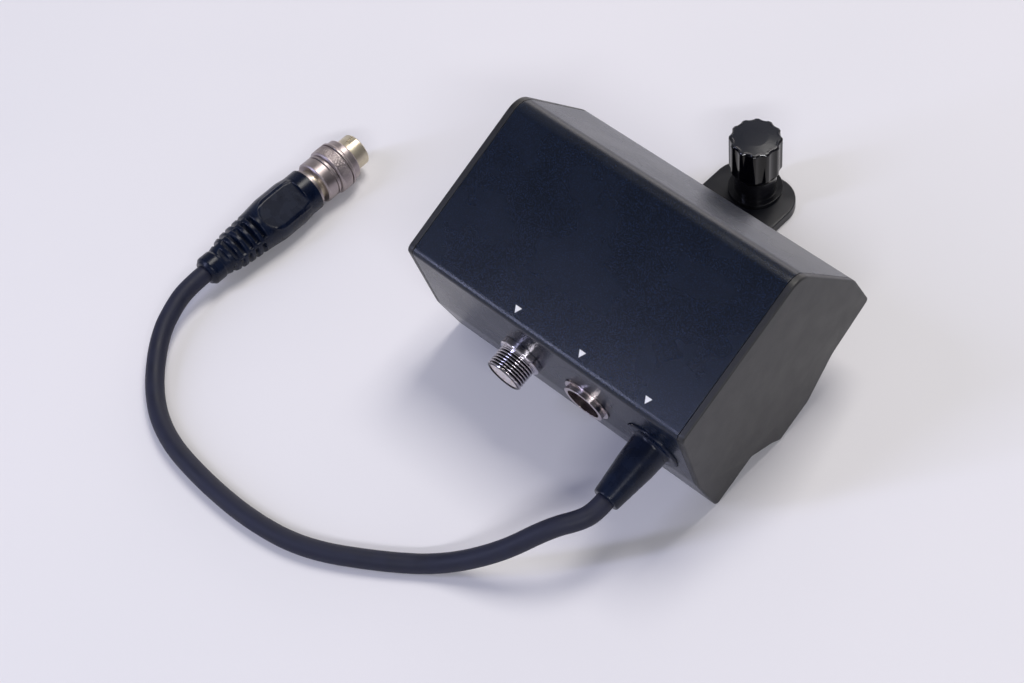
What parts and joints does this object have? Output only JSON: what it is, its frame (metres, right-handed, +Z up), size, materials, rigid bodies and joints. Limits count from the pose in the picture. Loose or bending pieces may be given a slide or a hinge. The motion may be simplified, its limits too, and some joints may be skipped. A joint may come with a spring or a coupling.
{
  "type": "lens focus motor module",
  "caption": "Wedge-shaped motor housing with front ports, an exposed output gear below, a mounting plate with a sprung clamp screw, and a lens cable with a push-pull plug.",
  "frame": {"origin": "middle of the mounting plate's underside, on the surface that it lies on", "axes": "+X along the housing's length, to the right seen from the ports; +Y back along the mounting plate, towards the clamp screw; +Z up"},
  "size_m": [0.1632, 0.1797, 0.0637],
  "materials": {
    "cover_paint": "satin",
    "base_paint": "satin",
    "end_cap_paint": "matte",
    "screw_steel": "satin",
    "plate_coating": "satin",
    "knob_coating": "gloss",
    "steel": "satin",
    "dark_chrome": "polished",
    "nickel": "polished",
    "nut_nickel": "satin",
    "insert_plastic": "matte",
    "contact_gold": "polished",
    "boot_rubber": "matte",
    "cable_rubber": "matte",
    "gear_brass": "satin",
    "output_gear_steel": "satin",
    "frame_aluminium": "satin",
    "motor_can": "satin",
    "encoder_plastic": "matte",
    "standoff_brass": "satin",
    "board_laminate": "satin",
    "component_plastic": "matte"
  },
  "bodies": {
    "housing": {"top_cover": "cover_paint", "base": "base_paint", "right_end_cap": "end_cap_paint", "left_end_cap": "end_cap_paint", "cover_screws": "screw_steel", "end_cap_screws": "screw_steel", "plate_screws": "screw_steel", "pillar_screws": "screw_steel", "frame_screws": "screw_steel", "board_screws": "screw_steel", "motor_screws": "screw_steel", "mounting_plate": "plate_coating", "screw_collar": "plate_coating", "return_spring": "steel", "gland_clip": "steel", "demand_socket_shell": "dark_chrome", "aux_socket_shell": "dark_chrome", "plug_collar": "nickel", "plug_barrel": "nickel", "demand_socket_nut": "nut_nickel", "aux_socket_nut": "nut_nickel", "encoder_nut": "nut_nickel", "demand_socket_insert": "insert_plastic", "aux_socket_insert": "insert_plastic", "plug_insert": "insert_plastic", "demand_socket_contacts": "contact_gold", "aux_socket_contacts": "contact_gold", "plug_pins": "contact_gold", "cable_gland": "boot_rubber", "plug_boot": "boot_rubber", "lens_cable": "cable_rubber", "left_frame_plate": "frame_aluminium", "right_frame_plate": "frame_aluminium", "frame_pillars": "frame_aluminium", "motor_gearhead": "frame_aluminium", "motor": "motor_can", "encoder": "encoder_plastic", "board_standoffs": "standoff_brass", "circuit_board": "board_laminate", "board_components": "component_plastic"},
    "clamp_carrier": {"spring_washer": "steel"},
    "clamp_screw": {"clamp_stud": "steel", "thumb_knob": "knob_coating"},
    "output_wheel": {"output_gear": "output_gear_steel", "output_shaft": "steel"},
    "idler_wheel": {"idler_gear": "gear_brass", "idler_shaft": "steel"},
    "motor_rotor": {"motor_pinion": "gear_brass", "motor_shaft": "steel"},
    "encoder_rotor": {"encoder_gear": "gear_brass", "encoder_shaft": "steel"},
    "plug_sleeve": {"coupling_sleeve": "nickel", "sleeve_rear_ring": "nickel"}
  },
  "joints": [
    {"name": "clamp_press", "type": "slide", "parent": "housing", "child": "clamp_carrier", "axis": [0, 0, 1], "range_m": [-0.005, 0], "stiffness_N_per_m": 200, "springref_m": 0.003, "deforming": ["return_spring"]},
    {"name": "clamp_turn", "type": "hinge", "parent": "clamp_carrier", "child": "clamp_screw", "pos_m": [0, 0.02255, 0], "axis": [0, 0, 1], "continuous": true},
    {"name": "output_spin", "type": "hinge", "parent": "housing", "child": "output_wheel", "pos_m": [0.0316, -0.03584, 0.01261], "axis": [1, 0, 0], "continuous": true},
    {"name": "idler_spin", "type": "hinge", "parent": "housing", "child": "idler_wheel", "pos_m": [0.0316, -0.04133, 0.02849], "axis": [1, 0, 0], "continuous": true},
    {"name": "motor_spin", "type": "hinge", "parent": "housing", "child": "motor_rotor", "pos_m": [0.0316, -0.03363, 0.04342], "axis": [1, 0, 0], "continuous": true},
    {"name": "encoder_spin", "type": "hinge", "parent": "housing", "child": "encoder_rotor", "pos_m": [0.0316, -0.0524, 0.04268], "axis": [1, 0, 0], "continuous": true},
    {"name": "plug_release", "type": "slide", "parent": "housing", "child": "plug_sleeve", "axis": [0, -1, 0], "range_m": [0, 0.0015], "stiffness_N_per_m": 600, "springref_m": -0.002}
  ],
  "couplings": [
    {"joint": "idler_spin", "follows": "output_spin", "ratio": -2},
    {"joint": "motor_spin", "follows": "output_spin", "ratio": 5},
    {"joint": "encoder_spin", "follows": "output_spin", "ratio": 4}
  ]
}
